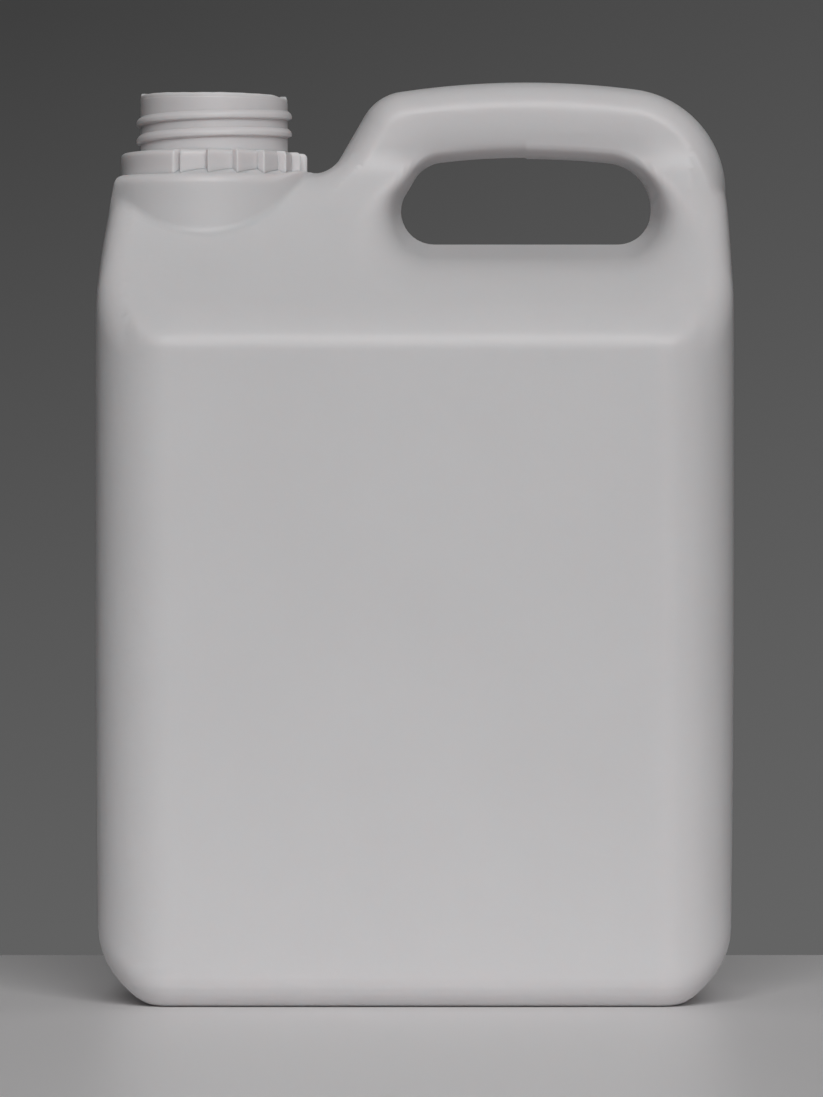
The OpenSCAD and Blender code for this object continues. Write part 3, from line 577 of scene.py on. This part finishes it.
# How far the cut rim lies below its full height: a little unevenness all round, torn steps at the right
# and a curled sliver standing up at the left.
def rimDrop(a):
    r = np.radians(a)
    wave = 0.05 * np.sin(3 * r + 0.6) + 0.03 * np.sin(7 * r + 2.1) + 0.02 * np.sin(23 * r)

    def bump(at, width):
        return np.exp(-((np.mod(a - at + 180, 360) - 180) / width) ** 2)

    right = (0.35 * bump(338, 9) + 0.5 * bump(349, 2.2) + 0.35 * bump(356, 1.5) - 0.3 * bump(352.5, 1.2)
             + 0.5 * bump(2, 2.5))
    return 0.2 + wave + 0.08 * (1 + np.cos(r)) + right + 0.15 * bump(190, 6) - 0.45 * bump(184, 1.6)


# Closed surface round the neck's axis: each row is a radius and a height for every polar angle, from
# the bore's side round the outside and back.
def turned(a, rows):
    r = np.stack([row[0] + 0 * a for row in rows])
    ar = np.radians(a)
    # the neck leans, the ring doesn't
    above = [np.clip(row[1] / neck["ringHeight"] - 1, 0, 1) for row in rows]
    z = np.stack([row[1] - neck["lean"] * row[0] * np.cos(ar) * share for row, share in zip(rows, above)])
    grid = np.stack([neckX + r * np.cos(ar), r * np.sin(ar), shoulder + z], -1)
    return np.concatenate([grid, grid[:, :1]], 1)


def ringPiece():
    a = np.linspace(0, 360, neck["ringColumns"], endpoint=False)
    ring = ratchetRadius(a)
    width = neck["toothRound"] * len(a) / 360  # rounds the teeth by averaging over a short arc
    kernel = np.hanning(2 * int(round(width)) + 3)
    pad = len(kernel)
    around = np.concatenate([ring[-pad:], ring, ring[:pad]])
    ring = np.convolve(around, kernel / kernel.sum(), "same")[pad:-pad]
    h, c = neck["ringHeight"], neck["ringRound"]
    inside, sunk = neck["inside"], neck["sunk"]
    rows = [(inside, -sunk), (ring - 0.2, -sunk), (ring, -1.0), (ring, 0.9), (ring, 2.2), (ring, h - c)]
    for t in np.radians([18, 36, 54, 72, 90]):
        rows.append((ring - c * (1 - math.cos(t)), h - c * (1 - math.sin(t))))
    rows += [(mix(ring - c, inside, 0.5), h), (inside, h), (inside, -sunk)]
    return meshPiece("ratchetRing", *sewn(quadsOf(turned(a, rows))))


def neckPiece():
    a = np.linspace(0, 360, neck["columns"], endpoint=False)
    h, s = neck["ringHeight"], neck["sunk"]
    rows = [(neck["bore"], -s), (neck["tube"], -s), (neck["tube"], h - 0.2)]
    top, e = neck["height"] - rimDrop(a), neck["rimRound"]
    for t in np.linspace(0, 1, neck["wallRows"] + 1):
        z = mix(h, top - e, t)
        foot = 0.5 * np.clip(1 - (z - h) / 0.6, 0, 1) ** 2  # small fillet on the ring
        lip = -neck["lip"] * np.clip((z - top + 1.15) / 0.12, 0, 1)
        rows.append((neck["tube"] + threadHeight(a, z) + lip + foot, z))
    for t in np.radians([22.5, 45, 67.5, 90]):
        rows.append((neck["tube"] - neck["lip"] - e * (1 - math.cos(t)), top - e * (1 - math.sin(t))))
    inE = 0.3
    for t in np.radians([90, 60, 30, 0]):
        rows.append((neck["bore"] + inE * (1 - math.cos(t)), top - inE * (1 - math.sin(t))))
    for t in (0.3, 0.65, 1):
        rows.append((neck["bore"], mix(top - inE, -s, t)))
    return meshPiece("screwNeck", *sewn(quadsOf(turned(a, rows))))


ring = ringPiece()
neckTube = neckPiece()
print("can made")

finish = {
    "colour": (0.705, 0.683, 0.690,
               1), "cloudDepth": 0.03, "cloudScale": 28, "roughness": 0.43, "specular": 0.41,
    "subsurface": 1.0, "radius": (1.0, 0.86, 0.82), "reach": 0.0026,
    "peel": 0.12, "peelScale": 420, "peelDepth": 0.0002,
}


def newNode(tree, kind, **values):  # a node with its inputs set by name, spaces left out of the names
    node = tree.nodes.new(kind)
    for socket in node.inputs:
        if socket.enabled and socket.name.replace(" ", "") in values:
            socket.default_value = values[socket.name.replace(" ", "")]
    return node


def plasticMaterial():
    material = bpy.data.materials.new("naturalPolyethylene")
    material.use_nodes = True
    tree = material.node_tree
    links = tree.links
    shader = tree.nodes["Principled BSDF"]
    place = tree.nodes.new("ShaderNodeTexCoord")
    # faint unevenness of the milky plastic
    cloud = newNode(tree, "ShaderNodeTexNoise", Scale=finish["cloudScale"], Detail=4)
    links.new(place.outputs["Object"], cloud.inputs["Vector"])
    tone = tree.nodes.new("ShaderNodeMixRGB")
    depth = finish["cloudDepth"]
    tone.inputs["Color1"].default_value = [c * (1 - depth) for c in finish["colour"][:3]] + [1]
    tone.inputs["Color2"].default_value = [c * (1 + depth) for c in finish["colour"][:3]] + [1]
    links.new(cloud.outputs["Fac"], tone.inputs["Fac"])
    links.new(tone.outputs["Color"], shader.inputs["Base Color"])
    # orange peel of the mould
    peel = newNode(tree, "ShaderNodeTexNoise", Scale=finish["peelScale"], Detail=2)
    links.new(place.outputs["Object"], peel.inputs["Vector"])
    bump = newNode(tree, "ShaderNodeBump", Strength=finish["peel"], Distance=finish["peelDepth"])
    links.new(peel.outputs["Fac"], bump.inputs["Height"])
    links.new(bump.outputs["Normal"], shader.inputs["Normal"])
    shader.inputs["Roughness"].default_value = finish["roughness"]
    shader.inputs["Specular IOR Level"].default_value = finish["specular"]
    shader.inputs["Subsurface Weight"].default_value = finish["subsurface"]
    shader.inputs["Subsurface Radius"].default_value = finish["radius"]
    shader.inputs["Subsurface Scale"].default_value = finish["reach"]
    return material


plastic = plasticMaterial()
for piece in (skin, ring, neckTube):
    piece.data.materials.append(plastic)
print("finish made")

studio = {
    "floor": (0.88, 0.865, 0.87, 1), "floorRoughness": 0.38, "floorEdge": 0.146, "floorFront": -0.31,
    "floorHalf": 0.17, "wallBack": 1.2, "wallHalf": 4, "wallLow": -1.5, "wallHigh": 3,
    # painted light on the backdrop: grey tones at its four corners, lighter low and to the right
    "wall": {"topLeft": 0.098, "topRight": 0.155, "lowLeft": 0.285, "lowRight": 0.305},
    "lamps": {
        "key": {"place": (0.26, -3.35, 2.03), "size": (2.7, 2.1), "power": 112},
        "top": {"place": (0.1, 0.5, 1.5), "size": (1.4, 1.0), "power": 0.8},
    },
    "ambient": 0.02,
}


def plainMaterial(name, colour, roughness):
    material = bpy.data.materials.new(name)
    material.use_nodes = True
    shader = material.node_tree.nodes["Principled BSDF"]
    shader.inputs["Base Color"].default_value = colour
    shader.inputs["Roughness"].default_value = roughness
    return material


def backdropPaintedLightMaterial():  # grey paper with painted light: lighter downwards and to the right
    material = plainMaterial("backdropPaperPaintedLight", (0.2, 0.2, 0.2, 1), 0.9)
    tree = material.node_tree
    place = tree.nodes.new("ShaderNodeTexCoord")
    axes = tree.nodes.new("ShaderNodeSeparateXYZ")
    tree.links.new(place.outputs["Object"], axes.inputs["Vector"])
    across = newNode(tree, "ShaderNodeMapRange", FromMin=-0.17, FromMax=0.17)
    tree.links.new(axes.outputs["X"], across.inputs["Value"])
    tones = []
    for left, right in (("lowLeft", "lowRight"), ("topLeft", "topRight")):
        tone = newNode(tree, "ShaderNodeMixRGB", Color1=[studio["wall"][left]] * 3 + [1],
                       Color2=[studio["wall"][right]] * 3 + [1])
        tree.links.new(across.outputs["Result"], tone.inputs["Fac"])
        tones.append(tone)
    up = newNode(tree, "ShaderNodeMapRange", FromMin=-0.06, FromMax=0.34)
    tree.links.new(axes.outputs["Z"], up.inputs["Value"])
    both = tree.nodes.new("ShaderNodeMixRGB")
    tree.links.new(up.outputs["Result"], both.inputs["Fac"])
    tree.links.new(tones[0].outputs["Color"], both.inputs["Color1"])
    tree.links.new(tones[1].outputs["Color"], both.inputs["Color2"])
    tree.links.new(both.outputs["Color"], tree.nodes["Principled BSDF"].inputs["Base Color"])
    return material


def stagePlane(name, corners, material):
    mesh = bpy.data.meshes.new(name)
    mesh.from_pydata(corners, [], [(0, 1, 2, 3)])
    plane = bpy.data.objects.new(name, mesh)
    bpy.context.scene.collection.objects.link(plane)
    plane.data.materials.append(material)
    return plane


def makeStudio():
    edge = studio["floorEdge"]
    front, half = studio["floorFront"], studio["floorHalf"]
    stagePlane("floor", [(-half, front, 0), (half, front, 0), (half, edge, 0), (-half, edge, 0)],
               plainMaterial("tableTop", studio["floor"], studio["floorRoughness"]))
    back, side, low, high = (studio[k] for k in ("wallBack", "wallHalf", "wallLow", "wallHigh"))
    stagePlane("backdrop", [(-side, back, low), (side, back, low), (side, back, high), (-side, back, high)],
               backdropPaintedLightMaterial())
    for name, lampSet in studio["lamps"].items():
        lamp = bpy.data.lights.new(name, "AREA")
        lamp.shape = "RECTANGLE"
        lamp.size, lamp.size_y = lampSet["size"]
        lamp.energy = lampSet["power"]
        box = bpy.data.objects.new(name, lamp)
        box.location = lampSet["place"]
        box.rotation_euler = (Vector((0, 0, 0.11)) - Vector(box.location)).to_track_quat("-Z", "Y").to_euler()
        bpy.context.scene.collection.objects.link(box)
    world = bpy.data.worlds.new("room")
    world.use_nodes = True
    world.node_tree.nodes["Background"].inputs["Color"].default_value = (1, 1, 1, 1)
    world.node_tree.nodes["Background"].inputs["Strength"].default_value = studio["ambient"]
    bpy.context.scene.world = world


# the photo's pinhole: focal length and long side in pixels, sensor in millimetres, place in metres
view = {"focal": 6294, "pixels": 1097, "sensor": 36, "place": (-0.00076, -1.52, 0.1076)}


def makeCamera():
    data = bpy.data.cameras.new("camera")
    data.lens, data.sensor_width = view["sensor"] * view["focal"] / view["pixels"], view["sensor"]
    data.clip_start, data.clip_end = 0.05, 20
    camera = bpy.data.objects.new("camera", data)
    camera.location = view["place"]
    camera.rotation_euler = (math.radians(90), 0, 0)
    bpy.context.scene.collection.objects.link(camera)
    bpy.context.scene.camera = camera


makeStudio()
makeCamera()
bpy.context.scene.view_settings.view_transform = "Standard"
print("studio made")
